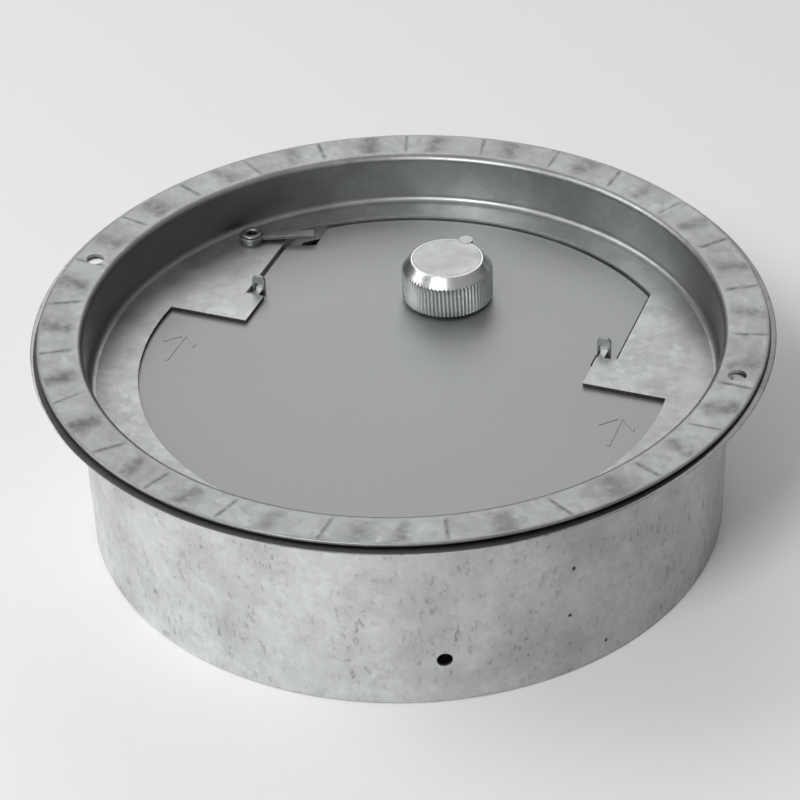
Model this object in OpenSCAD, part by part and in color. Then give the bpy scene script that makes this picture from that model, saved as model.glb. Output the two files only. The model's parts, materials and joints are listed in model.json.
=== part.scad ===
// Draught stabiliser lying on its collar with its face up.
// X runs along the hinge line of the disc, +Y is the top of the face when it is fitted,
// +Z comes out of the face, and Z = 0 is the open end of the collar.

/* [Collar] */
// Outer radius of the rolled collar
collar_r = 75; // [70:0.5:85]
// Sheet thickness of the collar
collar_t = 0.6; // [0.5:0.05:0.9]
// Straight length of the collar wall below its flange
collar_wall_h = 47.5; // [38:0.5:80]
// Reach of the collar's turned-out flange past the collar
collar_flange_w = 9.6; // [9:0.1:14]
// Width of the lap where the collar sheet is spot welded to itself
lap_w = 8; // [5:0.5:12]
// Bearing of the lap seam, in degrees from +X
lap_at = 8; // [0:1:30]

/* [Collar holes] */
// Radius of the fixing holes in the collar
screw_hole_r = 1.75; // [1.5:0.05:2.5]
// Height of the fixing holes above the open end
screw_hole_z = 11.7; // [8:0.1:20]
// Number of fixing holes
screw_hole_count = 3; // [2:1:4]
// Bearing of the first fixing hole, in degrees from +X
screw_hole_at = -63.5; // [-75:0.5:-50]

/* [Front ring] */
// Sheet thickness of the pressed front ring
ring_t = 0.8; // [0.6:0.05:1]
// Distance that the ring's edge stays inside the edge of the collar's flange
ring_inset = 1.5; // [0.5:0.1:2]
// Gap between the ring's dish wall and the inside of the collar
ring_gap = 0.9; // [0.8:0.1:1.8]
// Height that the flange rises from the dish to its edge, which stands clear of the collar's flange
flange_rise = 0.5; // [0.3:0.05:0.8]
// Depth of the dish floor below the flange
dish_depth = 12.7; // [10:0.1:16]
// Inside bend radius at the mouth and at the foot of the dish wall
dish_bend_r = 1.7; // [1:0.1:2]
// Radius of the flange holes
flange_hole_r = 2.1; // [1.8:0.1:2.2]
// Distance from the ring's edge to the middle of each flange hole
flange_hole_in = 5.1; // [4.6:0.1:5.2]

/* [Opening in the dish floor] */
// Width of the floor at the near edge, which laps over the disc
near_floor_w = 11.3; // [9:0.1:14]
// Width of the floor at the far edge, where the disc shows whole
far_floor_w = 7.8; // [6.6:0.1:8.6]
// Distance that the straight sides are set in from the far edge
side_inset = 18.3; // [17:0.1:19.5]
// Reach of the tongues past the straight sides
tongue_reach = 4.8; // [4.4:0.1:6]
// Far edge of the tongues
tongue_far_y = 15.5; // [13:0.1:18]
// Width of the tongues
tongue_w = 11.2; // [8:0.1:14]
// Width of the ledge that the far part of the disc rests on
ledge_w = 3.2; // [2:0.1:4]
// Distance from the hinge line to the start of the ledge
ledge_start = 4.4; // [3.5:0.1:8]

/* [Swing disc] */
// Sheet thickness of the disc
disc_t = 0.8; // [0.6:0.05:0.9]
// Gap between the disc and the sheets above and below it
disc_gap = 0.2; // [0.15:0.05:0.3]
// Lap of the disc under the near edge of the floor
disc_lap = 2.7; // [1.5:0.1:5]
// Gap round the part of the disc that shows whole
disc_edge_gap = 0.65; // [0.5:0.05:1]
// Distance of the hinge line from the far edge of the tongues
hinge_set = 2.4; // [2.3:0.1:3.2]
// Height of the raised arrows on the disc
arrow_h = 0.15; // [0.1:0.05:0.3]
// Length of the arrows
arrow_len = 12; // [8:0.5:13]
// Width across each arrow's head
arrow_w = 8; // [5:0.5:8]
// Width of the raised line that draws the arrows
arrow_line_w = 0.9; // [0.6:0.1:1.4]
// Distance from the near edge's side to the middle of each arrow
arrow_in = 7.9; // [7:0.1:14]
// Place of the arrows' middle along Y
arrow_y = -9.5; // [-12:0.1:-8]

/* [Hinge lugs] */
// Distance from the disc's straight side to each lug
lug_edge = 0.9; // [0.8:0.1:1.1]
// Distance that the pair of lugs sits off the middle of the disc, towards -X
lug_shift = 0.6; // [0:0.1:0.7]
// Width of each lug
lug_w = 3.2; // [3.1:0.1:3.6]
// Height of the lug above the disc
lug_h = 4.8; // [4.6:0.1:6]
// Radius of the lug's rounded top corners
lug_corner_r = 1; // [0.4:0.1:1.4]
// Width of the window in the lug
window_w = 2; // [1.9:0.1:2.1]
// Height of the bar left over the window
window_bar = 2; // [1.2:0.1:2]
// Width of the nib that carries the lug
nib_w = 1.5; // [1.2:0.1:1.6]
// Length of the nib past the hinge line
nib_past = 0.9; // [0.6:0.05:1]

/* [Adjusting knob] */
// Distance of the knob's axis from the middle of the face
knob_y = 30.4; // [28:0.1:36]
// Radius over the knurl
knob_r = 10.9; // [9:0.1:13]
// Height of the knurled band
knurl_h = 7.4; // [7:0.1:12]
// Height of the smooth top of the knob above the knurl
knob_top_h = 2.8; // [2.4:0.1:4]
// Radius of the knob's flat top
knob_top_r = 8.7; // [8.6:0.1:9]
// Number of ridges round the knurl
knurl_count = 70; // [48:1:90]
// Depth of the knurl
knurl_depth = 0.4; // [0.2:0.05:0.6]
// Gap between the knob and the disc
knob_gap = 0.7; // [0.5:0.05:0.9]
// Radius of the recess in the knob's underside
knob_recess_r = 7; // [6.8:0.1:7.6]
// Depth of the recess in the knob's underside
knob_recess_h = 4.6; // [4.4:0.1:5]
// Radius of the scale cap in the knob's top
cap_r = 8.2; // [7.6:0.1:8.3]
// Thickness of the scale cap
cap_t = 0.8; // [0.6:0.05:1]
// Radius of the pointer nub on the scale cap
nub_r = 1.7; // [1.4:0.1:1.8]
// Distance from the cap's edge out to the middle of the pointer nub
nub_out = 1.1; // [0.3:0.1:1.2]
// Bearing of the pointer nub, in degrees from +X
nub_at = 80; // [60:1:100]

/* [Spindle] */
// Radius of the threaded spindle
spindle_r = 3; // [2.8:0.05:3.2]
// Clearance round the spindle in every hole
spindle_gap = 0.1; // [0.05:0.05:0.2]
// Length of the spindle below the disc
spindle_below = 5.2; // [5:0.1:8]
// Reach of the spindle into the knob above its recess
spindle_reach = 2.8; // [2.4:0.1:3]
// Width across the flats of the thin nuts
nut_af = 10; // [9.5:0.1:11]
// Thickness of the thin nuts
nut_h = 3.2; // [2.6:0.1:3.4]
// Radius of the washers
washer_r = 6; // [5.6:0.1:6.4]
// Thickness of the washers
washer_t = 1; // [0.8:0.05:1.2]

/* [Lock lever] */
// Distance from the dish wall to the rivet
rivet_in = 5.8; // [5.6:0.1:6.6]
// Bearing of the rivet, in degrees from +X
rivet_at = 145; // [144:0.5:147]
// Bearing of the lever, in degrees from +X
lever_at = 21; // [20:0.5:24]
// Length of the lever from the rivet to its tip
lever_len = 15.8; // [14:0.1:17]
// Width of the lever's arm
lever_w = 3; // [2.6:0.1:3.6]
// Thickness of the lever
lever_t = 1; // [0.8:0.05:1.2]
// Radius of the lever's round end
lever_end_r = 3.2; // [3:0.1:3.6]
// Thickness of the washer below the lever
lever_washer_t = 0.6; // [0.4:0.05:1]
// Clearance round the lever's rivet and above and below the lever
lever_gap = 0.05; // [0.05:0.05:0.15]
// Outer radius of the hollow rivet's shank
rivet_r = 1.8; // [1.6:0.05:2]
// Wall of the hollow rivet
rivet_wall = 0.6; // [0.4:0.05:0.8]
// Radius of the rivet's rolled heads
rivet_head_r = 2.7; // [2.5:0.05:2.9]
// Thickness of the rivet's rolled heads
rivet_head_t = 0.7; // [0.5:0.05:0.8]
// Clearance between the lever and the notch in the disc
notch_gap = 0.3; // [0.2:0.05:0.5]

/* [Hidden] */
$fn = 128;

// Steps in each rounded bend of a sheet
bend_steps = 8;
// Overlap that joins solids of one piece, and the run of a cut past a face
over = 0.5;
// Room beside and behind a lug, for the bend and for the nib
lug_room = 0.4;

collar_bend_r = 1;
collar_flange_r = collar_r + collar_flange_w;
collar_flange_z = collar_wall_h + collar_bend_r;
ring_flange_r = collar_flange_r - ring_inset;
flange_hole_at = ring_flange_r - flange_hole_in;
ring_flange_z = collar_flange_z + collar_t;
flange_top_z = ring_flange_z + ring_t;
dish_r = collar_r - collar_t - ring_gap - ring_t;
mouth_r = dish_r + dish_bend_r;
mouth_z = flange_top_z - dish_bend_r;
floor_top_z = flange_top_z - dish_depth;
floor_z = floor_top_z - ring_t;
foot_z = floor_top_z + dish_bend_r;
foot_r = dish_r - dish_bend_r;

near_edge_r = dish_r - near_floor_w;
far_edge_r = dish_r - far_floor_w;
side_x = far_edge_r - side_inset;
tongue_x = side_x - tongue_reach;
tongue_near_y = tongue_far_y - tongue_w;
hinge_y = tongue_far_y + hinge_set;

disc_top_z = floor_z - disc_gap;
disc_z = disc_top_z - disc_t;
ledge_top_z = disc_z - disc_gap;
ledge_z = ledge_top_z - ring_t;
disc_near_r = near_edge_r + disc_lap;
disc_far_r = far_edge_r - disc_edge_gap;
disc_half_x = side_x - disc_edge_gap;
lug_x = disc_half_x - lug_edge - lug_w / 2;
arrow_x = near_edge_r - arrow_in;
ledge_y = hinge_y + ledge_start;
shoulder_y = hinge_y - disc_t / 2;

knob_z = disc_top_z + knob_gap;
knob_shoulder_z = knob_z + knurl_h;
knob_top_z = knob_shoulder_z + knob_top_h;
// Foot of the knob's smooth top, just inside the root of the knurl
knob_neck_r = knob_r - knurl_depth - spindle_gap;
spindle_hole_r = spindle_r + spindle_gap;
spindle_top_z = knob_z + knob_recess_h + spindle_reach;

lever_washer_z = floor_top_z;
lever_z = lever_washer_z + lever_washer_t + lever_gap;
lever_top_z = lever_z + lever_t;
rivet_hole_r = rivet_r + lever_gap;
rivet_x = (dish_r - rivet_in) * cos(rivet_at);
rivet_y = (dish_r - rivet_in) * sin(rivet_at);
notch_x = rivet_x + lever_len * cos(lever_at) + lever_w / 2 * sin(lever_at) + notch_gap;

function arc(at, r, from, to) = [
    for (i = [0:bend_steps])
        let (a = from + (to - from) * i / bend_steps)
        at + r * [cos(a), sin(a)]
];

// Section of the collar: wall, bend and turned-out flange
collar_section = concat(
    [[collar_r, 0]],
    arc([collar_r + collar_bend_r, collar_wall_h], collar_bend_r, 180, 90),
    [[collar_flange_r, collar_flange_z], [collar_flange_r, ring_flange_z]],
    arc([collar_r + collar_bend_r, collar_wall_h], collar_bend_r + collar_t, 90, 180),
    [[collar_r - collar_t, 0]]
);

// Section of the front ring: flange, dish wall, foot and floor
ring_section = concat(
    [[ring_flange_r, ring_flange_z + flange_rise], [ring_flange_r, flange_top_z + flange_rise]],
    arc([mouth_r, mouth_z], dish_bend_r, 90, 180),
    arc([foot_r, foot_z], dish_bend_r, 0, -90),
    [[near_edge_r - over, floor_top_z], [near_edge_r - over, floor_z]],
    arc([foot_r, foot_z], dish_bend_r + ring_t, -90, 0),
    arc([mouth_r, mouth_z], dish_bend_r - ring_t, 180, 90)
);

// Half width and radius outline of the far part, from one line across the face
module far_outline(half_x, r, from_y) {
    intersection() {
        circle(r);
        translate([-half_x, from_y])
            square([2 * half_x, 2 * r]);
    }
}

module flange_holes() {
    for (side = [-1, 1])
        translate([side * flange_hole_at, 0, collar_flange_z - over])
            cylinder(r = flange_hole_r, h = collar_t + ring_t + flange_rise + 2 * over);
}

// Inner end of the rolled sheet, sunk half a sheet into the wall that it is welded to
module lap() {
    rotate([0, 0, lap_at])
        intersection() {
            rotate_extrude($fn = 240)
                translate([collar_r - 2 * collar_t, 0])
                    square([collar_t + collar_t / 2, collar_wall_h - over]);
            translate([0, -lap_w / 2, 0])
                cube([collar_r, lap_w, collar_wall_h]);
        }
}

module collar() {
    color("#c9cac9")
    difference() {
        union() {
            rotate_extrude($fn = 240)
                polygon(collar_section);
            lap();
        }
        for (i = [0:screw_hole_count - 1])
            rotate([0, 0, screw_hole_at + i * 360 / screw_hole_count])
                translate([collar_r - 3 * collar_t, 0, screw_hole_z])
                    rotate([0, 90, 0])
                        cylinder(r = screw_hole_r, h = 6 * collar_t);
        flange_holes();
    }
}

// Floor sheet inside the dish with the opening for the disc and the two tongues
module floor_sheet() {
    linear_extrude(ring_t)
        difference() {
            circle(foot_r);
            intersection() {
                circle(near_edge_r);
                translate([-2 * near_edge_r, -2 * near_edge_r])
                    square([4 * near_edge_r, 2 * near_edge_r + tongue_near_y]);
            }
            translate([-tongue_x, 0])
                square([2 * tongue_x, hinge_y]);
            far_outline(side_x, far_edge_r, tongue_far_y);
        }
}

// Places a thing at both lugs, with its Y and X measured from the lug's middle
module at_lugs() {
    for (side = [0, 1])
        translate([-lug_shift, hinge_y, 0])
            mirror([side, 0, 0])
                translate([lug_x, 0, 0])
                    children();
}

module hinge_nibs() {
    at_lugs()
        translate([-nib_w / 2, -hinge_set - over, floor_z])
            cube([nib_w, hinge_set + over + nib_past, ring_t]);
}

// Pressed recess that stops the far part of the disc
module ledge() {
    translate([0, 0, ledge_z])
        linear_extrude(floor_top_z - ring_t / 2 - ledge_z)
            difference() {
                far_outline(side_x + ring_t, far_edge_r + ring_t, ledge_y);
                far_outline(side_x, far_edge_r, 0);
            }
    translate([0, 0, ledge_z])
        linear_extrude(ring_t)
            difference() {
                far_outline(side_x + ring_t, far_edge_r + ring_t, ledge_y);
                far_outline(side_x - ledge_w, far_edge_r - ledge_w, 0);
            }
}

module front_ring() {
    color("#b4b5b4")
    difference() {
        union() {
            difference() {
                rotate_extrude($fn = 240)
                    polygon(ring_section);
                translate([0, 0, floor_z - over])
                    cylinder(r = foot_r - over, h = ring_t + 2 * over);
            }
            translate([0, 0, floor_z])
                floor_sheet();
            hinge_nibs();
            ledge();
        }
        flange_holes();
        translate([rivet_x, rivet_y, floor_z - over])
            cylinder(r = rivet_hole_r, h = ring_t + 2 * over, $fn = 64);
    }
}

module arrow() {
    linear_extrude(arrow_h + disc_t / 2)
        union() {
            translate([-arrow_line_w / 2, -arrow_len / 2])
                square([arrow_line_w, arrow_len - arrow_line_w]);
            for (side = [-1, 1])
                polygon([
                    [0, arrow_len / 2],
                    [side * arrow_w / 2, arrow_len / 2 - arrow_w / 2],
                    [side * arrow_w / 2, arrow_len / 2 - arrow_w / 2 - arrow_line_w * sqrt(2)],
                    [0, arrow_len / 2 - arrow_line_w * sqrt(2)]
                ]);
        }
}

// Blank of the disc: the near part closes from below, the far part shows whole
module disc_blank() {
    difference() {
        union() {
            difference() {
                circle(disc_near_r);
                translate([-2 * disc_near_r, shoulder_y])
                    square([4 * disc_near_r, 2 * disc_near_r]);
            }
            far_outline(disc_half_x, disc_far_r, 0);
        }
        lever_notch();
    }
}

// Corner of the disc that stays clear of the lever while it locks or frees the disc
module lever_notch() {
    intersection() {
        translate([rivet_x, rivet_y])
            rotate(lever_at)
                translate([0, -lever_w / 2 - notch_gap])
                    square([2 * lever_len, 2 * lever_len]);
        translate([notch_x - 2 * lever_len, 0])
            square([2 * lever_len, disc_far_r]);
    }
}

module lug() {
    translate([0, 0, disc_z])
        rotate([90, 0, 0])
            linear_extrude(disc_t, center = true) {
                translate([-lug_w / 2, 0])
                    square([lug_w, disc_t + lug_h - lug_corner_r]);
                hull()
                    for (side = [-1, 1])
                        translate([side * (lug_w / 2 - lug_corner_r), disc_t + lug_h - lug_corner_r])
                            circle(lug_corner_r, $fn = 48);
            }
}

// Window of the lug with room for the nib, and the slot that the lug was cut and bent up from
module lug_cuts() {
    translate([-window_w / 2, -disc_t, disc_z - over])
        cube([window_w, disc_t + nib_past + lug_room, disc_t + lug_h - window_bar + over]);
    translate([-lug_w / 2 - lug_room / 2, -disc_t / 2 - lug_h, disc_z - over])
        cube([lug_w + lug_room, lug_h, disc_t + 2 * over]);
}

module swing_disc() {
    color("#a3a4a4")
    difference() {
        union() {
            translate([0, 0, disc_z])
                linear_extrude(disc_t)
                    disc_blank();
            at_lugs()
                lug();
            for (side = [-1, 1])
                translate([side * arrow_x, arrow_y, disc_z + disc_t / 2])
                    arrow();
        }
        at_lugs()
            lug_cuts();
        translate([0, knob_y, disc_z - over])
            cylinder(r = spindle_hole_r, h = disc_t + 2 * over, $fn = 64);
    }
}

module on_spindle(z) {
    translate([0, knob_y, z])
        children();
}

module spindle() {
    color("#b9a36a")
    on_spindle(disc_z - spindle_below)
        cylinder(r = spindle_r, h = spindle_top_z - disc_z + spindle_below, $fn = 64);
}

module ring_plate(outer_r, inner_r, h) {
    difference() {
        cylinder(r = outer_r, h = h, $fn = 64);
        translate([0, 0, -over])
            cylinder(r = inner_r, h = h + 2 * over, $fn = 64);
    }
}

module nut() {
    difference() {
        cylinder(d = nut_af / cos(30), h = nut_h, $fn = 6);
        translate([0, 0, -over])
            cylinder(r = spindle_hole_r, h = nut_h + 2 * over, $fn = 64);
    }
}

module spindle_nuts() {
    color("#c2c3c4") {
        on_spindle(disc_top_z + washer_t)
            nut();
        on_spindle(disc_z - washer_t - nut_h)
            nut();
    }
}

module spindle_washers() {
    color("#b5b6b8") {
        on_spindle(disc_top_z)
            ring_plate(washer_r, spindle_hole_r, washer_t);
        on_spindle(disc_z - washer_t)
            ring_plate(washer_r, spindle_hole_r, washer_t);
    }
}

// Outline of the straight knurl
knurl_outline = [
    for (i = [0:2 * knurl_count - 1])
        let (a = i * 180 / knurl_count, r = knob_r - (i % 2) * knurl_depth)
        r * [cos(a), sin(a)]
];

module knob() {
    color("#d3d4d5")
    on_spindle(0)
    difference() {
        union() {
            translate([0, 0, knob_z])
                linear_extrude(knurl_h)
                    polygon(knurl_outline);
            rotate_extrude()
                polygon([
                    [0, knob_shoulder_z - over],
                    [knob_neck_r, knob_shoulder_z - over],
                    [knob_neck_r, knob_shoulder_z],
                    [knob_top_r, knob_top_z],
                    [0, knob_top_z]
                ]);
        }
        translate([0, 0, knob_z - over])
            cylinder(r = knob_recess_r, h = knob_recess_h + over, $fn = 64);
        translate([0, 0, knob_z])
            cylinder(r = spindle_hole_r, h = spindle_top_z + spindle_gap - knob_z, $fn = 64);
        translate([0, 0, knob_top_z - cap_t])
            cylinder(r = cap_r + spindle_gap, h = cap_t + over);
        translate([nub_place.x, nub_place.y, knob_top_z - cap_t])
            cylinder(r = nub_r + spindle_gap, h = cap_t + over, $fn = 48);
    }
}

// Middle of the pointer nub, measured from the knob's axis
nub_place = (cap_r + nub_out) * [cos(nub_at), sin(nub_at)];

module scale_cap() {
    color("#dcdddd")
    on_spindle(knob_top_z - cap_t) {
        cylinder(r = cap_r, h = cap_t);
        translate([nub_place.x, nub_place.y, 0])
            cylinder(r = nub_r, h = cap_t + spindle_gap, $fn = 48);
    }
}

module at_rivet(z) {
    translate([rivet_x, rivet_y, z])
        children();
}

module lock_lever() {
    color("#9c9d9d")
    at_rivet(lever_z)
        rotate(lever_at)
            difference() {
                union() {
                    cylinder(r = lever_end_r, h = lever_t, $fn = 64);
                    translate([0, -lever_w / 2, 0])
                        cube([lever_len, lever_w, lever_t]);
                }
                translate([0, 0, -over])
                    cylinder(r = rivet_hole_r, h = lever_t + 2 * over, $fn = 64);
            }
}

module lever_washer() {
    color("#b5b6b8")
    at_rivet(lever_washer_z)
        ring_plate(rivet_head_r, rivet_hole_r, lever_washer_t);
}

module lever_rivet() {
    color("#c6c7c7")
    difference() {
        union() {
            at_rivet(floor_z)
                cylinder(r = rivet_r, h = lever_top_z + lever_gap - floor_z + over, $fn = 64);
            at_rivet(lever_top_z + lever_gap)
                cylinder(r = rivet_head_r, h = rivet_head_t, $fn = 64);
            at_rivet(floor_z - rivet_head_t)
                cylinder(r = rivet_head_r, h = rivet_head_t, $fn = 64);
        }
        at_rivet(floor_z - rivet_head_t - over)
            cylinder(r = rivet_r - rivet_wall, h = dish_depth, $fn = 64);
    }
}

collar();
front_ring();
swing_disc();
spindle();
spindle_nuts();
spindle_washers();
knob();
scale_cap();
lock_lever();
lever_washer();
lever_rivet();
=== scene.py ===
"""Looks of a round galvanised draught stabiliser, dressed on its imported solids."""

import json
import math

import bmesh
import bpy
from mathutils import Matrix, Vector


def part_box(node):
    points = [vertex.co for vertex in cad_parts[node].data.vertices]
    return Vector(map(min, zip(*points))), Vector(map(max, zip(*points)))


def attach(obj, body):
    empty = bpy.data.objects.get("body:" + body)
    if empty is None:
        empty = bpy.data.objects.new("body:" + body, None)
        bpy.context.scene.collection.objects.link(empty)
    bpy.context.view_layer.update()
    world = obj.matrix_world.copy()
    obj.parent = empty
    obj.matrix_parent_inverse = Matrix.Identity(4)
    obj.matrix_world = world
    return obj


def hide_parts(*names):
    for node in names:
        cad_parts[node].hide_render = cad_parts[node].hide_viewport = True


bl_info = {
    "name": "Draught Stabiliser",
    "version": (1, 0, 0),
    "blender": (4, 5, 0),
    "location": "3D Viewport > Sidebar > Stabiliser",
    "description": "Adds the sheet metal, knob, lever and finishes of a draught stabiliser",
    "category": "Object",
}

MM = 0.001
IMAGE_PX = 800
SENSOR_MM = 36.0

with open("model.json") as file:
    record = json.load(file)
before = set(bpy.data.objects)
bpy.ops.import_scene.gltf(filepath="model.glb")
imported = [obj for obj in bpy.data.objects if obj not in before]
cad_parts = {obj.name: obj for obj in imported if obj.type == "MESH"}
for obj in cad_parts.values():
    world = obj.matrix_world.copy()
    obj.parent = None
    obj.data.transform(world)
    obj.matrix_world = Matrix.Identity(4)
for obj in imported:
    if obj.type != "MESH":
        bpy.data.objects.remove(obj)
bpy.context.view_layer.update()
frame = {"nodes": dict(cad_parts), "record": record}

RING_LOW, RING_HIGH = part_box("front_ring")
COLLAR_LOW, COLLAR_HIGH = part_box("collar")
DISC_LOW, DISC_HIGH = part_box("swing_disc")
KNOB_LOW, KNOB_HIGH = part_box("knob")
LEVER_LOW, LEVER_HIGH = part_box("lock_lever")
RIVET_LOW, RIVET_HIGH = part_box("lever_rivet")
COLLAR_R = frame["record"]["mounts"][0]["dims"]["r_mm"]
HOLES = {mount["name"]: mount for mount in frame["record"]["mounts"]}


class StabiliserSizes(bpy.types.PropertyGroup):
    ring_t: bpy.props.FloatProperty(
        name="Ring sheet", description="Sheet thickness of the pressed front ring, in mm", default=0.8)
    collar_t: bpy.props.FloatProperty(
        name="Collar sheet", description="Sheet thickness of the collar, in mm", default=0.6)
    dish_r: bpy.props.FloatProperty(
        name="Dish radius", description="Inside radius of the dish wall, in mm", default=72.7)
    dish_depth: bpy.props.FloatProperty(
        name="Dish depth", description="Depth of the floor below the mouth of the dish, in mm", default=12.7)
    flange_rise: bpy.props.FloatProperty(
        name="Flange rise", description="Rise of the flange from the mouth to its edge, in mm", default=0.5)
    bend_r: bpy.props.FloatProperty(
        name="Bend radius", description="Outer radius of the bends of the dish, in mm", default=1.7)
    crimp_count: bpy.props.IntProperty(
        name="Press marks", description="Number of press marks round the flange", default=51)
    crimp_depth: bpy.props.FloatProperty(
        name="Press mark depth", description="Depth of the press marks in the flange, in mm", default=0.07)
    seam_at: bpy.props.FloatProperty(
        name="Seam bearing", description="Bearing of the collar's lap seam", default=math.radians(8.0),
        unit="ROTATION")
    edge_round: bpy.props.FloatProperty(
        name="Edge round", description="Rounding of the cut sheet edges, in mm", default=0.15)
    ridge_count: bpy.props.IntProperty(
        name="Knurl ridges", description="Number of ridges round the knob", default=70)
    ridge_depth: bpy.props.FloatProperty(
        name="Knurl depth", description="Depth of the knurl, in mm", default=0.4)


class StabiliserColours(bpy.types.PropertyGroup):
    collar: bpy.props.StringProperty(
        name="Collar zinc", description="Colour of the collar's zinc, as sRGB hex", default="E4E6E6")
    ring: bpy.props.StringProperty(
        name="Ring zinc", description="Colour of the ring's zinc, as sRGB hex", default="A3A5A5")
    plate: bpy.props.StringProperty(
        name="Floor zinc", description="Colour of the zinc on the floor of the dish", default="B6B8B8")
    # The cut colour is bare steel and partly painted shade: it is dark enough to stand for the shadow line along
    # the opening in the dish floor.
    cut: bpy.props.StringProperty(
        name="Cut edges", description="Colour of the sheared edges of the ring", default="4A4A4A")
    mark: bpy.props.StringProperty(
        name="Press marks", description="Colour of the burnished press marks", default="5E6060")
    disc: bpy.props.StringProperty(
        name="Disc sheet", description="Colour of the disc's matt sheet", default="A6A8A8")
    aluminium: bpy.props.StringProperty(
        name="Aluminium", description="Colour of the turned aluminium", default="DADCDD")
    plated: bpy.props.StringProperty(
        name="Plated steel", description="Colour of the plated small parts", default="8C8E8E")
    brass: bpy.props.StringProperty(
        name="Brass", description="Colour of the turned spindle", default="BFA56A")
    floor: bpy.props.StringProperty(
        name="Floor", description="Colour of the pale floor", default="E8E8E8")


def sizes():
    return bpy.context.scene.stabiliser_sizes


def colours():
    return bpy.context.scene.stabiliser_colours


def linear(hex_colour):
    """Linear colour of an sRGB hex value."""
    values = [int(hex_colour[i:i + 2], 16) / 255 for i in (0, 2, 4)]
    return tuple(v / 12.92 if v <= 0.04045 else ((v + 0.055) / 1.055) ** 2.4 for v in values) + (1.0,)


def add_node(tree, kind, settings=None, inputs=None):
    """Adds one node. An input is a value, or a socket that is linked to it."""
    node = tree.nodes.new(kind)
    for name, value in (settings or {}).items():
        setattr(node, name, value)
    for name, value in (inputs or {}).items():
        if isinstance(value, bpy.types.NodeSocket):
            tree.links.new(value, node.inputs[name])
        else:
            node.inputs[name].default_value = value
    return node


def new_material(name):
    material = bpy.data.materials.new(name)
    material.use_nodes = True
    tree = material.node_tree
    tree.nodes.clear()
    return material, tree


def finish_material(tree, colour, roughness, normal, metallic=1.0):
    shader = add_node(tree, "ShaderNodeBsdfPrincipled", inputs={
        "Base Color": colour, "Metallic": metallic, "Roughness": roughness, "Normal": normal})
    add_node(tree, "ShaderNodeOutputMaterial", inputs={"Surface": shader.outputs["BSDF"]})


def object_point(tree, scale=(1.0, 1.0, 1.0)):
    point = add_node(tree, "ShaderNodeTexCoord").outputs["Object"]
    return add_node(tree, "ShaderNodeMapping", inputs={"Vector": point, "Scale": scale}).outputs["Vector"]


def noise(tree, point, size_mm, detail=3.0, roughness=0.55):
    return add_node(tree, "ShaderNodeTexNoise", inputs={
        "Vector": point, "Scale": 1.0 / (size_mm * MM), "Detail": detail, "Roughness": roughness,
    }).outputs["Fac"]


def remap(tree, value, from_low, from_high, to_low, to_high):
    return add_node(tree, "ShaderNodeMapRange", inputs={
        "Value": value, "From Min": from_low, "From Max": from_high,
        "To Min": to_low, "To Max": to_high}).outputs["Result"]


def mix_colour(tree, factor, first, second, blend="MIX"):
    node = add_node(tree, "ShaderNodeMix", {"data_type": "RGBA", "blend_type": blend})
    for index, value in ((0, factor), (6, first), (7, second)):
        if isinstance(value, bpy.types.NodeSocket):
            tree.links.new(value, node.inputs[index])
        else:
            node.inputs[index].default_value = value
    return node.outputs[2]


def shade(colour, factor):
    """The same linear colour, lighter or darker."""
    return tuple(min(1.0, c * factor) for c in colour[:3]) + (1.0,)


def math_node(tree, operation, first, second=0.0):
    node = add_node(tree, "ShaderNodeMath", {"operation": operation})
    for index, value in ((0, first), (1, second)):
        if isinstance(value, bpy.types.NodeSocket):
            tree.links.new(value, node.inputs[index])
        else:
            node.inputs[index].default_value = value
    return node.outputs[0]


def bump(tree, height, strength, distance_mm):
    return add_node(tree, "ShaderNodeBump", inputs={
        "Height": height, "Strength": strength, "Distance": distance_mm * MM}).outputs["Normal"]


def spangle(tree, point, cell_mm):
    """Crystals of a hot-dip zinc coat: cells with wandering edges."""
    wander = add_node(tree, "ShaderNodeTexNoise", inputs={
        "Vector": point, "Scale": 1.0 / (cell_mm * 0.8 * MM), "Detail": 2.0}).outputs["Color"]
    moved = add_node(tree, "ShaderNodeVectorMath", {"operation": "MULTIPLY_ADD"}, {
        0: wander, 1: (cell_mm * MM,) * 3, 2: point}).outputs["Vector"]
    return add_node(tree, "ShaderNodeTexVoronoi", inputs={
        "Vector": moved, "Scale": 1.0 / (cell_mm * MM)}).outputs["Color"]


def spot(tree, centre_mm, half_mm, turn):
    """1 at a place on the part, easing to 0 towards the surface of a small ellipsoid turned about it."""
    point = add_node(tree, "ShaderNodeTexCoord").outputs["Object"]
    placed = add_node(tree, "ShaderNodeMapping", {"vector_type": "TEXTURE"}, {
        "Vector": point, "Location": tuple(c * MM for c in centre_mm), "Rotation": turn,
        "Scale": tuple(h * MM for h in half_mm)}).outputs["Vector"]
    away = add_node(tree, "ShaderNodeVectorMath", {"operation": "LENGTH"}, {0: placed}).outputs["Value"]
    return remap(tree, away, 0.6, 1.0, 1.0, 0.0)


# Small dark pits and a faint scratch on the front of the collar: place and half sizes in mm, and turn.
COLLAR_SCARS = (
    ((56.3, -49.5, 28.9), (0.5, 0.5, 0.7), (0.0, 0.0, 0.0)),
    ((55.8, -50.1, 16.3), (0.6, 0.6, 0.5), (0.0, 0.0, 0.0)),
    ((61.8, -42.5, 4.6), (0.5, 0.5, 0.6), (0.0, 0.0, 0.0)),
)


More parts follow.
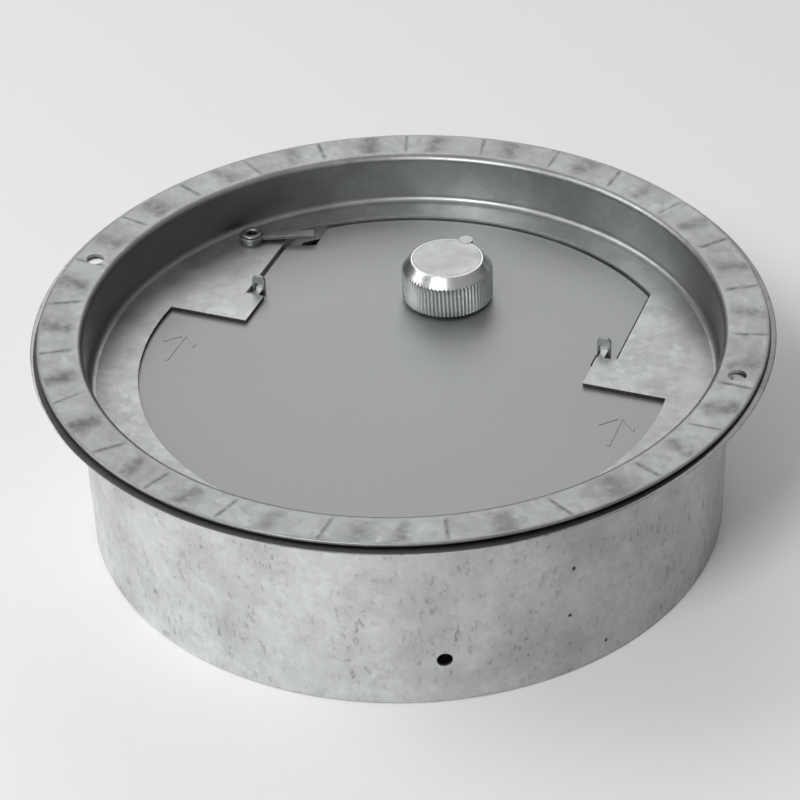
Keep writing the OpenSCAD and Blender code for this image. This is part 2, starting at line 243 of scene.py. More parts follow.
def galvanised(name, hex_colour, roughness, cell_mm, with_marks_and_painted_wall_light=False, with_flecks_and_painted_shade=False):
    """Hot-dip galvanised sheet: a soft grey sheen in small crystals, each a little lighter or darker."""
    material, tree = new_material(name)
    point = object_point(tree)
    base = linear(hex_colour)
    crystals = add_node(tree, "ShaderNodeSeparateColor", inputs={"Color": spangle(tree, point, cell_mm)})
    colour = mix_colour(tree, crystals.outputs["Red"], shade(base, 0.93), shade(base, 1.05))
    clouds = noise(tree, point, 18.0, 6.0, 0.68)
    colour = mix_colour(tree, remap(tree, clouds, 0.42, 0.66, 0.0, 0.85), colour, shade(base, 0.72))
    rough = remap(tree, crystals.outputs["Green"], 0, 1, roughness - 0.03, roughness + 0.04)
    if with_flecks_and_painted_shade:
        stretched = object_point(tree, (1.0, 1.0, 0.5))
        streak = noise(tree, stretched, 1.3, 4.0, 0.65)
        patch = noise(tree, point, 9.0, 2.0, 0.5)
        fleck = math_node(tree, "MULTIPLY", remap(tree, streak, 0.56, 0.68, 0, 1),
                          remap(tree, patch, 0.4, 0.6, 0.15, 0.7))
        colour = mix_colour(tree, fleck, colour, shade(base, 0.35))
        place = add_node(tree, "ShaderNodeSeparateXYZ", inputs={"Vector": point})
        # Painted side shade: the collar's colour is darkened towards +X, its right side in the view, standing in
        # for the shade on the side away from the light.
        painted_side_shade = remap(tree, place.outputs["X"], 0.012, 0.06, 0, 0.85)
        colour = mix_colour(tree, painted_side_shade, colour, mix_colour(tree, 1.0, colour, (0.55, 0.55, 0.55, 1.0), "MULTIPLY"))
        # Painted shade under the ring's edge: a near-black band on top of the collar's flange just outside the
        # ring, covering the whole strip along the front.
        out = add_node(tree, "ShaderNodeVectorMath", {"operation": "LENGTH"}, {
            0: object_point(tree, (1.0, 1.0, 0.0))}).outputs["Value"]
        reach = remap(tree, place.outputs["Y"], -0.02, -0.07, 0.0834, 0.0846)
        inside = math_node(tree, "LESS_THAN", out, reach)
        painted_gap_shade = math_node(tree, "MULTIPLY", remap(tree, place.outputs["Z"], 0.0488, 0.0490, 0, 0.9), inside)
        colour = mix_colour(tree, painted_gap_shade, colour, shade(base, 0.05))
        for place, half, turn in COLLAR_SCARS:
            colour = mix_colour(tree, spot(tree, place, half, turn), colour, shade(base, 0.06))
    if with_marks_and_painted_wall_light:
        mark = add_node(tree, "ShaderNodeAttribute", {"attribute_name": "press_mark"}).outputs["Fac"]
        blotch = noise(tree, point, 2.2, 3.0, 0.6)
        worn = math_node(tree, "MULTIPLY", mark, remap(tree, blotch, 0.3, 0.6, 0.35, 1.0))
        colour = mix_colour(tree, worn, colour, linear(colours().mark))
        # The dish wall is coloured darker; towards the far side the darkening fades out, a painted highlight where
        # the light falls on the far wall.
        flat = add_node(tree, "ShaderNodeVectorMath", {"operation": "LENGTH"}, {
            0: object_point(tree, (1.0, 1.0, 0.0))}).outputs["Value"]
        wall_darkening_and_painted_light = math_node(tree, "MULTIPLY", remap(tree, flat, 0.0712, 0.0723, 0, 1),
                          remap(tree, flat, 0.0735, 0.0728, 0, 1))
        along = add_node(tree, "ShaderNodeSeparateXYZ", inputs={"Vector": point}).outputs["Y"]
        wall_darkening_and_painted_light = math_node(tree, "MULTIPLY", wall_darkening_and_painted_light, remap(tree, along, 0.035, 0.062, 1, 0.1))
        colour = mix_colour(tree, wall_darkening_and_painted_light, colour, shade(base, 0.55))
    grain = noise(tree, point, 0.5, 2.0, 0.5)
    normal = bump(tree, grain, 0.25, 0.02)
    normal_wide = add_node(tree, "ShaderNodeBump", inputs={
        "Height": clouds, "Strength": 0.3, "Distance": 0.25 * MM, "Normal": normal}).outputs["Normal"]
    finish_material(tree, colour, rough, normal_wide)
    return material


def sheared_edge_and_painted_shade():
    """Bare steel of a punched edge, with fine vertical shear lines; its dark colour is partly painted shade,
    standing for the shadow line along the opening in the dish floor.
    """
    material, tree = new_material("sheared_steel_edge_and_painted_shade")
    base = linear(colours().cut)
    shear = noise(tree, object_point(tree, (1.0, 1.0, 0.1)), 0.3, 2.0, 0.5)
    colour = mix_colour(tree, remap(tree, shear, 0.35, 0.65, 0, 1), shade(base, 0.6), shade(base, 1.3))
    finish_material(tree, colour, 0.5, bump(tree, shear, 0.3, 0.02))
    return material


def rolled_sheet():
    """Matt rolled sheet of the disc: an even grey with fine specks and faint handling smears."""
    material, tree = new_material("matt_rolled_sheet")
    point = object_point(tree)
    base = linear(colours().disc)
    smear = noise(tree, object_point(tree, (0.6, 1.0, 1.0)), 30.0, 4.0, 0.6)
    colour = mix_colour(tree, remap(tree, smear, 0.35, 0.65, 0, 1), shade(base, 0.95), shade(base, 1.06))
    speck = noise(tree, point, 0.7, 2.0, 0.6)
    colour = mix_colour(tree, remap(tree, speck, 0.62, 0.75, 0, 0.35), colour, shade(base, 1.35))
    rough = remap(tree, smear, 0.3, 0.7, 0.48, 0.56)
    finish_material(tree, colour, rough, bump(tree, speck, 0.2, 0.02))
    return material


def turned_aluminium(name, roughness, centre, tone=1.0):
    """Aluminium turned on a lathe: fine rings round the axis, which spread the highlight."""
    material, tree = new_material(name)
    point = add_node(tree, "ShaderNodeTexCoord").outputs["Object"]
    centred = add_node(tree, "ShaderNodeMapping", inputs={
        "Vector": point, "Location": tuple(-c for c in centre)}).outputs["Vector"]
    base = shade(linear(colours().aluminium), tone)
    rings = add_node(tree, "ShaderNodeTexWave", {
        "wave_type": "RINGS", "rings_direction": "Z"}, {
        "Vector": centred, "Scale": 1.0 / (2.2 * MM), "Distortion": 0.6, "Detail": 3.0}).outputs["Fac"]
    cloud = noise(tree, point, 4.0, 3.0, 0.6)
    colour = mix_colour(tree, remap(tree, cloud, 0.35, 0.7, 0, 1), shade(base, 1.0), shade(base, 0.9))
    rough = remap(tree, cloud, 0.3, 0.7, roughness - 0.03, roughness + 0.05)
    finish_material(tree, colour, rough, bump(tree, rings, 0.3, 0.01))
    return material


def plated_steel():
    """Zinc-plated pressed steel: satin, a little darker than the sheet, with small handling scratches."""
    material, tree = new_material("zinc_plated_steel")
    point = object_point(tree)
    base = linear(colours().plated)
    cloud = noise(tree, point, 3.0, 3.0, 0.6)
    colour = mix_colour(tree, remap(tree, cloud, 0.35, 0.7, 0, 1), shade(base, 0.85), shade(base, 1.1))
    scratch = noise(tree, object_point(tree, (0.2, 1.0, 1.0)), 0.25, 2.0, 0.5)
    finish_material(tree, colour, remap(tree, cloud, 0.3, 0.7, 0.32, 0.45), bump(tree, scratch, 0.2, 0.01))
    return material


def turned_brass():
    """Turned brass of the spindle, with a matt rolled thread."""
    material, tree = new_material("turned_brass")
    point = object_point(tree)
    base = linear(colours().brass)
    thread = add_node(tree, "ShaderNodeTexWave", {"wave_type": "BANDS", "bands_direction": "Z"}, {
        "Vector": point, "Scale": 1.0 / (20.0 * MM) * math.tau / 2, "Distortion": 0.0}).outputs["Fac"]
    cloud = noise(tree, point, 3.0, 3.0, 0.6)
    colour = mix_colour(tree, remap(tree, cloud, 0.35, 0.7, 0, 1), shade(base, 0.85), shade(base, 1.1))
    finish_material(tree, colour, remap(tree, cloud, 0.3, 0.7, 0.3, 0.45), bump(tree, thread, 0.6, 0.2))
    return material


MATERIALS = {}


def material_of(name):
    """Makes each finish once and gives it back."""
    knob_centre = ((KNOB_LOW[0] + KNOB_HIGH[0]) / 2, (KNOB_LOW[1] + KNOB_HIGH[1]) / 2, 0.0)
    makers = {
        "collar": lambda: galvanised("galvanised_collar", colours().collar, 0.45, 1.6, with_flecks_and_painted_shade=True),
        "ring": lambda: galvanised("galvanised_pressed_ring", colours().ring, 0.4, 1.8, with_marks_and_painted_wall_light=True),
        "plate": lambda: galvanised("galvanised_dish_floor", colours().plate, 0.42, 1.8),
        "cut": sheared_edge_and_painted_shade,
        "disc": rolled_sheet,
        "knob": lambda: turned_aluminium("turned_aluminium", 0.24, knob_centre),
        "cap": lambda: turned_aluminium("satin_aluminium", 0.45, knob_centre, 0.72),
        "plated": plated_steel,
        "brass": turned_brass,
    }
    if name not in MATERIALS:
        MATERIALS[name] = makers[name]()
    return MATERIALS[name]


def keep_piece(bm, name, finish, body, sharp_deg=35.0, flat_levels=False):
    """Turns a finished bmesh into a piece that rides on its body.

    With flat_levels, the level faces are shaded flat, and the roundings next to them smooth.
    """
    mesh = bpy.data.meshes.new(name)
    bm.to_mesh(mesh)
    bm.free()
    mesh.set_sharp_from_angle(angle=math.radians(sharp_deg))
    for polygon in mesh.polygons:
        polygon.use_smooth = not (flat_levels and abs(polygon.normal.z) > 0.99999)
    mesh.materials.append(material_of(finish))
    piece = bpy.data.objects.new(name, mesh)
    bpy.context.scene.collection.objects.link(piece)
    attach(piece, body)
    return piece


def arc_points(centre, radius, start_deg, end_deg, steps):
    """Points of a rounded bend in the (radius, height) plane, in mm."""
    turn = (end_deg - start_deg) / steps
    angles = [math.radians(start_deg + turn * i) for i in range(steps + 1)]
    return [(centre[0] + radius * math.cos(a), centre[1] + radius * math.sin(a)) for a in angles]


def spin_profile(bm, points_mm, steps, closed=True, centre=(0.0, 0.0)):
    """Spins a (radius, height) outline in mm a full turn about a vertical axis."""
    verts = [bm.verts.new((centre[0] * MM + r * MM, centre[1] * MM, z * MM)) for r, z in points_mm]
    pairs = list(zip(verts, verts[1:]))
    if closed:
        pairs.append((verts[-1], verts[0]))
    edges = [bm.edges.new(pair) for pair in pairs]
    bmesh.ops.spin(bm, geom=verts + edges, cent=(centre[0] * MM, centre[1] * MM, 0), axis=(0, 0, 1),
                   angle=math.tau, steps=steps, use_merge=True, use_duplicate=False)
    bmesh.ops.remove_doubles(bm, verts=bm.verts, dist=1e-7)
    bmesh.ops.recalc_face_normals(bm, faces=bm.faces)


def cut_with(piece, cutter_bm):
    """Cuts a closed shape out of a piece and applies the cut."""
    mesh = bpy.data.meshes.new("cutter")
    cutter_bm.to_mesh(mesh)
    cutter_bm.free()
    cutter = bpy.data.objects.new("cutter", mesh)
    bpy.context.scene.collection.objects.link(cutter)
    modifier = piece.modifiers.new("cut", "BOOLEAN")
    modifier.operation = "DIFFERENCE"
    modifier.solver = "EXACT"
    modifier.object = cutter
    apply_modifiers(piece)
    bpy.data.objects.remove(cutter)


def apply_modifiers(piece):
    graph = bpy.context.evaluated_depsgraph_get()
    made = bpy.data.meshes.new_from_object(piece.evaluated_get(graph), preserve_all_data_layers=True,
                                           depsgraph=graph)
    piece.modifiers.clear()
    piece.data = made


def add_rod(bm, start, direction, radius, length, segments=48):
    """Adds a closed rod, used as a cutter for round holes. Sizes are in metres."""
    turn = Vector((0, 0, 1)).rotation_difference(Vector(direction).normalized()).to_matrix().to_4x4()
    middle = Vector(start) + Vector(direction).normalized() * length / 2
    bmesh.ops.create_cone(bm, cap_ends=True, segments=segments, radius1=radius, radius2=radius,
                          depth=length, matrix=Matrix.Translation(middle) @ turn)


def softened_copy(node, keep=None, width_mm=0.12, segments=2, wide=None, wide_mm=0.0):
    """Copy of a solid with its cut edges rounded over by a small amount, and the wide edges by more."""
    bm = bmesh.new()
    bm.from_mesh(frame["nodes"][node].data)
    bmesh.ops.remove_doubles(bm, verts=bm.verts, dist=1e-6)
    if keep:
        gone = [face for face in bm.faces if not all(keep(v.co) for v in face.verts)]
        bmesh.ops.delete(bm, geom=gone, context="FACES")
    bmesh.ops.dissolve_limit(bm, angle_limit=math.radians(1.0), verts=bm.verts, edges=bm.edges)
    sharp = [e for e in bm.edges
             if len(e.link_faces) == 2 and e.calc_face_angle(0.0) > math.radians(40.0)]
    if wide:
        round_over(bm, [e for e in sharp if wide(e)], wide_mm, 5)
        sharp = [e for e in bm.edges
                 if len(e.link_faces) == 2 and e.calc_face_angle(0.0) > math.radians(40.0)]
    round_over(bm, sharp, width_mm, segments)
    bmesh.ops.recalc_face_normals(bm, faces=bm.faces)
    return bm


def round_over(bm, edges, width_mm, segments):
    bmesh.ops.bevel(bm, geom=edges, offset=width_mm * MM, offset_type="OFFSET", segments=segments,
                    profile=0.5, affect="EDGES", clamp_overlap=True, material=-1)


def smooth_window(value, low, high, soft):
    """1 between low and high, easing to 0 over soft on each side."""
    rise = min(1.0, max(0.0, (value - low) / soft))
    fall = min(1.0, max(0.0, (high - value) / soft))
    t = min(rise, fall)
    return t * t * (3 - 2 * t)


def scatter(index, salt):
    """A fixed value from -1 to 1 for each index."""
    value = math.sin(index * 127.1 + salt * 311.7) * 43758.5453
    return 2 * (value - math.floor(value)) - 1


# Bearings in degrees of the press marks along the front of the flange, thin creases and broad dents in turn.
FRONT_MARKS = (
    (-115.2, "dent"), (-109.9, "crease"), (-103.8, "dent"), (-96.8, "crease"), (-89.6, "dent"),
    (-81.0, "crease"), (-75.9, "dent"), (-69.6, "dent"), (-63.0, "crease"), (-54.8, "dent"),
    (-45.5, "crease"), (-35.9, "dent"), (-29.4, "crease"), (-21.8, "dent"), (-15.1, "crease"),
    (-9.2, "dent"), (-2.8, "crease"),
)


def flange_marks(count):
    """Bearing in radians and kind of each press mark: those along the front, then the rest round the back."""
    marks = list(FRONT_MARKS)
    rest = count - len(marks)
    step = (marks[0][0] + 360 - marks[-1][0]) / (rest + 1)
    for i in range(1, rest + 1):
        kind = "dent" if i % 2 else "crease"
        marks.append((FRONT_MARKS[-1][0] + step * (i + 0.16 * scatter(i, 1)), kind))
    return [(math.radians(bearing), kind) for bearing, kind in marks]


def press_mark(marks, angle, along, radius):
    """How deep the flange is pressed at a place, and how much it is burnished there, each 0 to 1."""
    depth = burnish = 0.0
    for index, (bearing, kind) in enumerate(marks):
        off = math.remainder(angle - bearing, math.tau)
        if abs(off) > 0.08:
            continue
        across = off * radius + 0.3 * scatter(index, 2) * along
        if kind == "crease":
            mark = math.exp(-(across / (0.42 + 0.1 * scatter(index, 3))) ** 2)
            depth = max(depth, 0.6 * mark)
            burnish = max(burnish, mark)
        else:
            reach = 2.2 + 0.6 * scatter(index, 4) + 0.15 * scatter(index, 6) * along
            mark = math.exp(-(across / reach) ** 2)
            depth = max(depth, mark)
            burnish = max(burnish, (0.75 + 0.2 * scatter(index, 5)) * mark)
    return depth, burnish


class STABILISER_OT_collar(bpy.types.Operator):
    """Adds the rolled collar with its flange, holes and lap seam"""

    bl_idname = "stabiliser.collar"
    bl_label = "Collar"

    def execute(self, context):
        s = sizes()
        bend = 1.0
        flange_r = COLLAR_HIGH[0] / MM
        top = COLLAR_HIGH[2] / MM
        wall_top = top - s.collar_t - bend
        inner = COLLAR_R - s.collar_t
        lip = s.collar_t / 2
        outline = [(COLLAR_R, 0.06), (COLLAR_R, 8), (COLLAR_R, 24), (COLLAR_R, wall_top)]
        outline += arc_points((COLLAR_R + bend, wall_top), bend, 180, 90, 6)[1:]
        outline += [(flange_r - lip, top - s.collar_t)]
        outline += arc_points((flange_r - lip, top - lip), lip, -90, 90, 6)[1:]
        outline += arc_points((COLLAR_R + bend, wall_top), bend + s.collar_t, 90, 180, 6)
        outline += [(inner, 24), (inner, 8), (inner, 0.06), (inner + 0.06, 0), (COLLAR_R - 0.06, 0)]
        bm = bmesh.new()
        spin_profile(bm, outline, 360)
        piece = keep_piece(bm, "collar_sheet", "collar", "housing")
        cutter = bmesh.new()
        for name in ("fixing_hole_a", "fixing_hole_b", "fixing_hole_c"):
            hole = HOLES[name]
            start = Vector(hole["pos_m"]) - Vector(hole["axis"]) * 0.003
            add_rod(cutter, start, hole["axis"], hole["dims"]["r_mm"] * MM, 0.006)
        add_flange_rods(cutter)
        cut_with(piece, cutter)
        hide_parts("collar")
        self.add_lap(s, wall_top)
        return {"FINISHED"}

    def add_lap(self, s, wall_top):
        """The inner layer of the lap, and its outer edge, which has sprung a little near the flange."""
        bm = bmesh.new()
        inner = COLLAR_R - s.collar_t
        half = 4.0 / inner
        strip_section = [(inner + 0.05, 0), (inner - s.collar_t, 0),
                         (inner - s.collar_t, wall_top - 0.5), (inner + 0.05, wall_top - 0.5)]
        bend_strip(bm, strip_section, s.seam_at - half, s.seam_at + half, 16)
        piece = keep_piece(bm, "collar_lap", "collar", "housing")
        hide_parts("collar")
        bm = bmesh.new()
        low, high = wall_top - 14.0, wall_top - 1.0
        section = [(COLLAR_R - 0.05, low), (COLLAR_R + 0.25, low), (COLLAR_R + 0.95, high - 2),
                   (COLLAR_R + 1.0, high), (COLLAR_R + 0.5, high), (COLLAR_R - 0.05, high - 4)]
        bend_strip(bm, section, s.seam_at + 0.02, s.seam_at + 0.06, 4)
        piece = keep_piece(bm, "collar_seam_edge", "collar", "housing")
        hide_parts("collar")


def bend_strip(bm, section, start, end, steps):
    """Sweeps a closed (radius, height) section in mm part of the way round the axis, with closed ends."""
    verts = [bm.verts.new((r * MM * math.cos(start), r * MM * math.sin(start), z * MM)) for r, z in section]
    face = bm.faces.new(verts)
    made = bmesh.ops.spin(bm, geom=[face], cent=(0, 0, 0), axis=(0, 0, 1), angle=end - start,
                          steps=steps, use_merge=False, use_duplicate=False)
    if not made["geom_last"]:
        raise RuntimeError("the lap strip wasn't swept")
    bmesh.ops.remove_doubles(bm, verts=bm.verts, dist=1e-7)
    bmesh.ops.recalc_face_normals(bm, faces=bm.faces)


def add_flange_rods(cutter):
    """Adds the cutters of the two flange holes."""
    holes = HOLES["flange_holes"]["dims"]
    for side in (-1, 1):
        start = (side * holes["spacing_x_mm"] / 2 * MM, 0, 0.045)
        add_rod(cutter, start, (0, 0, 1), holes["hole_r_mm"] * MM, 0.01)


class STABILISER_OT_front_ring(bpy.types.Operator):
    """Adds the pressed front ring: marked flange, dish wall and floor"""

    bl_idname = "stabiliser.front_ring"
    bl_label = "Front ring"

    def execute(self, context):
        s = sizes()
        rim_r = RING_HIGH[0] / MM
        edge_top = RING_HIGH[2] / MM
        mouth_top = edge_top - s.flange_rise
        floor_top = mouth_top - s.dish_depth
        mouth = (s.dish_r + s.bend_r, mouth_top - s.bend_r)
        foot = (s.dish_r - s.bend_r, floor_top + s.bend_r)
        lip = 0.25
        flat_to = rim_r - lip

        def flange_top(radius):
            return mouth_top + s.flange_rise * (radius - mouth[0]) / (rim_r - mouth[0])

        flange = [mouth[0] + (flat_to - mouth[0]) * i / 10 for i in range(1, 10)]
        outline = [(foot[0], floor_top)] + arc_points(foot, s.bend_r, -90, 0, 6)[1:]
        outline += arc_points(mouth, s.bend_r, 180, 90, 6) + [(r, flange_top(r)) for r in flange]
        outline += arc_points((flat_to, edge_top - lip), lip, 90, 0, 3)
        outline += arc_points((flat_to, edge_top - s.ring_t + lip), lip, 0, -90, 3)
        outline += arc_points(mouth, s.bend_r - s.ring_t, 90, 180, 4)
        outline += arc_points(foot, s.bend_r + s.ring_t, 0, -90, 5)
        bm = bmesh.new()
        spin_profile(bm, outline, 1440)
        mark_layer = bm.verts.layers.float.new("press_mark")
        marks = flange_marks(s.crimp_count)
        middle_r = (mouth[0] + rim_r) / 2
        for vert in bm.verts:
            radius = vert.co.xy.length / MM
            if radius > mouth[0] and vert.co.z / MM > flange_top(radius) - 0.03:
                angle = math.atan2(vert.co.y, vert.co.x)
                depth, burnish = press_mark(marks, angle, radius - middle_r, radius)
                window = smooth_window(radius, mouth[0] + 0.3, rim_r - 0.2, 1.0)
                vert.co.z -= s.crimp_depth * depth * window * MM
                vert[mark_layer] = burnish * window
        piece = keep_piece(bm, "front_ring_flange", "ring", "housing")
        cutter = bmesh.new()
        add_flange_rods(cutter)
        cut_with(piece, cutter)
        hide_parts("front_ring")

        floor_edge = (foot[0] + 0.05) * MM
        floor_high = (floor_top + 0.05) * MM
        bm = softened_copy("front_ring", lambda co: co.xy.length < floor_edge and co.z < floor_high,
                           width_mm=s.edge_round, wide=self.far_opening_edge, wide_mm=s.ring_t * 0.85)
        open_edges = [e for e in bm.edges if len(e.link_faces) == 1]
        bmesh.ops.bridge_loops(bm, edges=open_edges)
        bmesh.ops.recalc_face_normals(bm, faces=bm.faces)
        piece = keep_piece(bm, "front_ring_floor", "plate", "housing", flat_levels=True)
        # The upright faces round the near part of the opening in the floor get the dark edge colour: bare steel,
        # and painted shade along the opening.
        piece.data.materials.append(material_of("cut"))
        for polygon in piece.data.polygons:
            if abs(polygon.normal.z) < 0.3 and polygon.center.xy.length < 0.067 and polygon.center.y < 0.0165:
                polygon.material_index = 1
        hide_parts("front_ring")
        return {"FINISHED"}


    def far_opening_edge(self, edge):
        """The upper edge of the opening's far half, which the press has rolled over."""
        floor_top = (RING_HIGH[2] / MM - sizes().flange_rise - sizes().dish_depth) * MM
        return all(abs(v.co.z - floor_top) < 2e-5 and v.co.xy.length < 0.066 and v.co.y > 0.0153
                   for v in edge.verts)


class STABILISER_OT_disc(bpy.types.Operator):
    """Adds the swing disc with its lugs and raised arrows"""

    bl_idname = "stabiliser.disc"
    bl_label = "Swing disc"

    def execute(self, context):
        bm = softened_copy("swing_disc", width_mm=0.06)
        piece = keep_piece(bm, "swing_disc_sheet", "disc", "disc", flat_levels=True)
        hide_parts("swing_disc")
        return {"FINISHED"}


class STABILISER_OT_knob(bpy.types.Operator):
    """Adds the knurled knob and its cap"""

    bl_idname = "stabiliser.knob"
    bl_label = "Adjusting knob"

    def execute(self, context):
        s = sizes()
        centre = ((KNOB_LOW[0] + KNOB_HIGH[0]) / 2, (KNOB_LOW[1] + KNOB_HIGH[1]) / 2)
        low, high = KNOB_LOW[2] / MM, KNOB_HIGH[2] / MM
        outer = (KNOB_HIGH[0] - KNOB_LOW[0]) / 2 / MM
        root = outer - s.ridge_depth
        top_r, cap_seat_r, shoulder_h, recess_h, stud_h = 8.7, 8.3, 2.8, 4.6, 7.5
        shoulder = high - shoulder_h
        slope = shoulder_h / (outer - top_r)
        per_ridge = 6
        count = s.ridge_count * per_ridge
        bm = bmesh.new()

        def ring_of(radius_of, height_of):
            verts = bmesh.ops.create_circle(bm, segments=count, radius=1.0)["verts"]
            for index, vert in enumerate(verts):
                radius = radius_of(index)
                flat = vert.co.xy.normalized() * radius * MM
                vert.co = (centre[0] + flat.x, centre[1] + flat.y, height_of(radius) * MM)
            return [e for e in bm.edges if e.verts[0] in verts and e.verts[1] in verts]

        def ridge(index):
            wave = math.cos(math.tau * index / per_ridge)
            return root + s.ridge_depth * (0.5 + 0.5 * wave) ** 0.8

        def plain(radius):
            return lambda index: radius

        def level(z):
            return lambda radius: z

        def low_ridge(index):
            return ridge(index) - 0.35

        rings = [
            (plain(3.1), level(low + stud_h)),
            (plain(3.1), level(low + recess_h)),
            (plain(7.0), level(low + recess_h)),
            (plain(7.0), level(low + 0.15)),
            (plain(7.15), level(low)),
            (low_ridge, level(low)),
            (ridge, level(low + 0.35)),
            (ridge, lambda radius: shoulder + (outer - radius) * slope),
            (plain(root - 0.25), level(shoulder + (s.ridge_depth + 0.25) * slope)),
            (plain(top_r + 0.2), level(high - 0.2 * slope)),
            (plain(top_r + 0.06), level(high - 0.07)),
            (plain(top_r - 0.1), level(high)),
            (plain(cap_seat_r), level(high)),
            (plain(cap_seat_r), level(high - 0.8)),
        ]
        loops = [ring_of(*pair) for pair in rings]
        for first, second in zip(loops, loops[1:]):
            bmesh.ops.bridge_loops(bm, edges=first + second)
        for loop in (loops[0], loops[-1]):
            bmesh.ops.contextual_create(bm, geom=loop)
        bmesh.ops.recalc_face_normals(bm, faces=bm.faces)
        piece = keep_piece(bm, "knob_body", "knob", "knob", sharp_deg=50.0)
        nub = math.radians(80.0)
        nub_place = ((centre[0] / MM + 9.3 * math.cos(nub)) * MM, (centre[1] / MM + 9.3 * math.sin(nub)) * MM)
        cutter = bmesh.new()
        add_rod(cutter, (*nub_place, (high - 0.8) * MM), (0, 0, 1), 1.75 * MM, 2 * MM)
        cut_with(piece, cutter)
        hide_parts("knob")
        bm = softened_copy("scale_cap", width_mm=0.15, segments=3)
        piece = keep_piece(bm, "knob_cap", "cap", "knob", flat_levels=True)
        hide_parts("scale_cap")
        return {"FINISHED"}


class STABILISER_OT_lever(bpy.types.Operator):
    """Adds the lock lever and its hollow rivet"""

    bl_idname = "stabiliser.lever"
    bl_label = "Lock lever"

    def execute(self, context):
        bm = softened_copy("lock_lever", width_mm=0.25, segments=3)
        piece = keep_piece(bm, "lever_arm", "plated", "lever", flat_levels=True)
        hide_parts("lock_lever")
        middle = ((RIVET_LOW[0] + RIVET_HIGH[0]) / 2 / MM, (RIVET_LOW[1] + RIVET_HIGH[1]) / 2 / MM)
        low, high = RIVET_LOW[2] / MM, RIVET_HIGH[2] / MM
        head, shank, bore, thick = 2.7, 1.8, 1.2, 0.7
        roll = (head - bore) / 2
        outline = arc_points((bore + roll, high - 0.4), roll, 180, 0, 10)
        outline = [(r, high - thick + (z - high + 0.4) * 0.7 + 0.1) for r, z in outline]
        outline += [(head - 0.1, high - thick), (shank, high - thick), (shank, low + thick)]
        outline += [(head - 0.1, low + thick), (head, low + thick - 0.2), (head - 0.3, low), (bore, low)]
        bm = bmesh.new()
        spin_profile(bm, outline, 48, centre=middle)
        piece = keep_piece(bm, "rivet_hollow", "plated", "housing")
        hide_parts("lever_rivet")
        return {"FINISHED"}


class STABILISER_OT_fasteners(bpy.types.Operator):
    """Gives the small turned and pressed solids their finish"""

    bl_idname = "stabiliser.fasteners"
    bl_label = "Fasteners"

    def execute(self, context):
        finishes = {"spindle": "brass", "spindle_nuts": "plated", "spindle_washers": "plated",
                    "lever_washer": "plated"}
        for node, finish in finishes.items():
            data = frame["nodes"][node].data
            data.materials.clear()
            data.materials.append(material_of(finish))
        return {"FINISHED"}


def add_lamp(name, place, target, size, power):
    light = bpy.data.lights.new(name, "AREA")
    light.shape = "DISK"
    light.size = size
    light.energy = power
    lamp = bpy.data.objects.new(name, light)
    lamp.location = place
    lamp.rotation_euler = (Vector(target) - Vector(place)).to_track_quat("-Z", "Y").to_euler()
    bpy.context.scene.collection.objects.link(lamp)


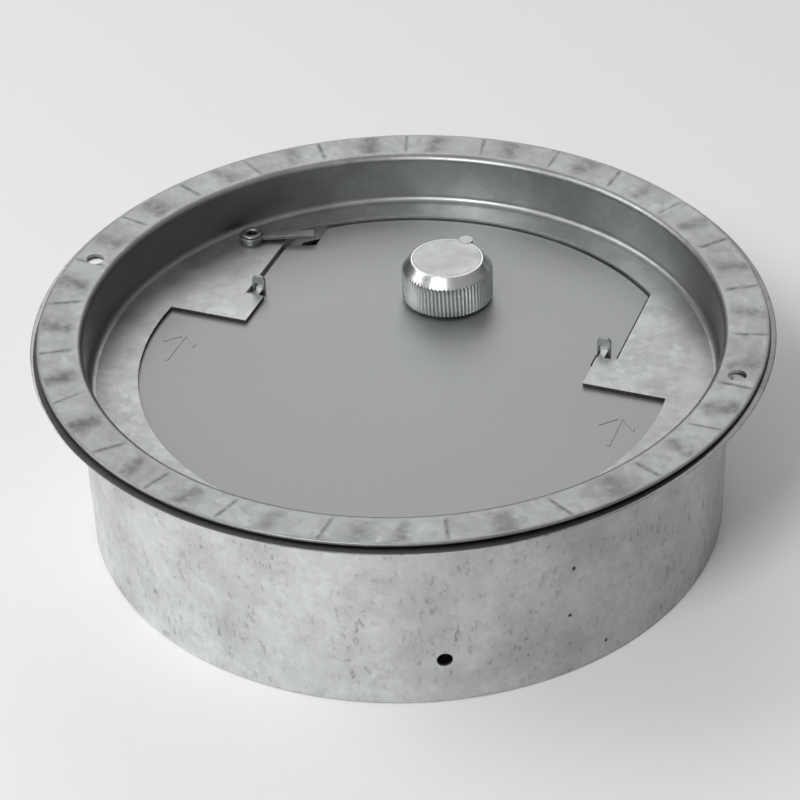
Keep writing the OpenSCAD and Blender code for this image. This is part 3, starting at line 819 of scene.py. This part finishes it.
class STABILISER_OT_stage(bpy.types.Operator):
    """Adds the pale floor, the soft light and the camera"""

    bl_idname = "stabiliser.stage"
    bl_label = "Stage"

    def execute(self, context):
        self.add_floor()
        self.add_world()
        self.add_camera()
        middle = (0, 0, 0.03)
        add_lamp("window_left", (-1.0, -0.2, 0.85), middle, 0.8, 5.0)
        add_lamp("softbox_back", (-0.5, 1.2, 0.95), middle, 1.0, 3.5)
        add_lamp("window_front", (-0.15, -0.95, 1.0), middle, 0.45, 9.0)
        view = bpy.context.scene.view_settings
        view.view_transform = "Standard"
        return {"FINISHED"}

    def add_floor(self):
        bm = bmesh.new()
        bmesh.ops.create_grid(bm, x_segments=4, y_segments=4, size=3.0)
        mesh = bpy.data.meshes.new("floor")
        bm.to_mesh(mesh)
        bm.free()
        material, tree = new_material("pale_floor")
        shader = add_node(tree, "ShaderNodeBsdfDiffuse", inputs={"Color": linear(colours().floor)})
        add_node(tree, "ShaderNodeOutputMaterial", inputs={"Surface": shader.outputs["BSDF"]})
        mesh.materials.append(material)
        floor = bpy.data.objects.new("floor", mesh)
        floor.location.z = -0.0002
        bpy.context.scene.collection.objects.link(floor)

    def add_world(self):
        world = bpy.data.worlds.new("room")
        world.use_nodes = True
        tree = world.node_tree
        tree.nodes.clear()
        way = add_node(tree, "ShaderNodeTexCoord").outputs["Generated"]
        height = add_node(tree, "ShaderNodeSeparateXYZ", inputs={"Vector": way}).outputs["Z"]
        low = mix_colour(tree, remap(tree, height, 0.05, 0.5, 0, 1), linear("3C3C3C"), linear("C0C0C0"))
        colour = mix_colour(tree, remap(tree, height, 0.5, 0.95, 0, 1), low, linear("F0F0F0"))
        light = add_node(tree, "ShaderNodeBackground", inputs={"Color": colour, "Strength": 0.62})
        add_node(tree, "ShaderNodeOutputWorld", inputs={"Surface": light.outputs["Background"]})
        bpy.context.scene.world = world

    def add_camera(self):
        azimuth, elevation, roll = (math.radians(a) for a in (21.71, 35.62, -2.12))
        distance, focal_px = 544.13 * MM, 2324.8
        back = Vector((math.sin(azimuth) * math.cos(elevation),
                       -math.cos(azimuth) * math.cos(elevation), math.sin(elevation)))
        right = Vector((math.cos(azimuth), math.sin(azimuth), 0))
        up = back.cross(right)
        target = right * -1.19 * MM + Vector((0, 0, 26.16 * MM))
        side = math.cos(roll) * right + math.sin(roll) * up
        top = -math.sin(roll) * right + math.cos(roll) * up
        data = bpy.data.cameras.new("camera")
        data.sensor_width = SENSOR_MM
        data.lens = focal_px / IMAGE_PX * SENSOR_MM
        data.clip_start, data.clip_end = 0.01, 20.0
        camera = bpy.data.objects.new("camera", data)
        turn = Matrix((side, top, back)).transposed().to_4x4()
        camera.matrix_world = Matrix.Translation(target + back * distance) @ turn
        bpy.context.scene.collection.objects.link(camera)
        bpy.context.scene.camera = camera


class STABILISER_PT_panel(bpy.types.Panel):
    bl_idname = "STABILISER_PT_panel"
    bl_label = "Draught Stabiliser"
    bl_space_type = "VIEW_3D"
    bl_region_type = "UI"
    bl_category = "Stabiliser"

    def draw(self, context):
        layout = self.layout
        for group in (context.scene.stabiliser_sizes, context.scene.stabiliser_colours):
            for name in group.__annotations__:
                layout.prop(group, name)
        for operator in STEPS:
            layout.operator(operator.bl_idname)


STEPS = (
    STABILISER_OT_stage,
    STABILISER_OT_collar,
    STABILISER_OT_front_ring,
    STABILISER_OT_disc,
    STABILISER_OT_knob,
    STABILISER_OT_lever,
    STABILISER_OT_fasteners,
)
CLASSES = (StabiliserSizes, StabiliserColours, *STEPS, STABILISER_PT_panel)


def register():
    for cls in CLASSES:
        bpy.utils.register_class(cls)
    bpy.types.Scene.stabiliser_sizes = bpy.props.PointerProperty(type=StabiliserSizes)
    bpy.types.Scene.stabiliser_colours = bpy.props.PointerProperty(type=StabiliserColours)


def unregister():
    del bpy.types.Scene.stabiliser_colours
    del bpy.types.Scene.stabiliser_sizes
    for cls in reversed(CLASSES):
        bpy.utils.unregister_class(cls)


def main():
    register()
    bpy.ops.stabiliser.stage()
    bpy.ops.stabiliser.collar()
    bpy.ops.stabiliser.front_ring()
    bpy.ops.stabiliser.disc()
    bpy.ops.stabiliser.knob()
    bpy.ops.stabiliser.lever()
    bpy.ops.stabiliser.fasteners()


if __name__ == "__main__":
    main()
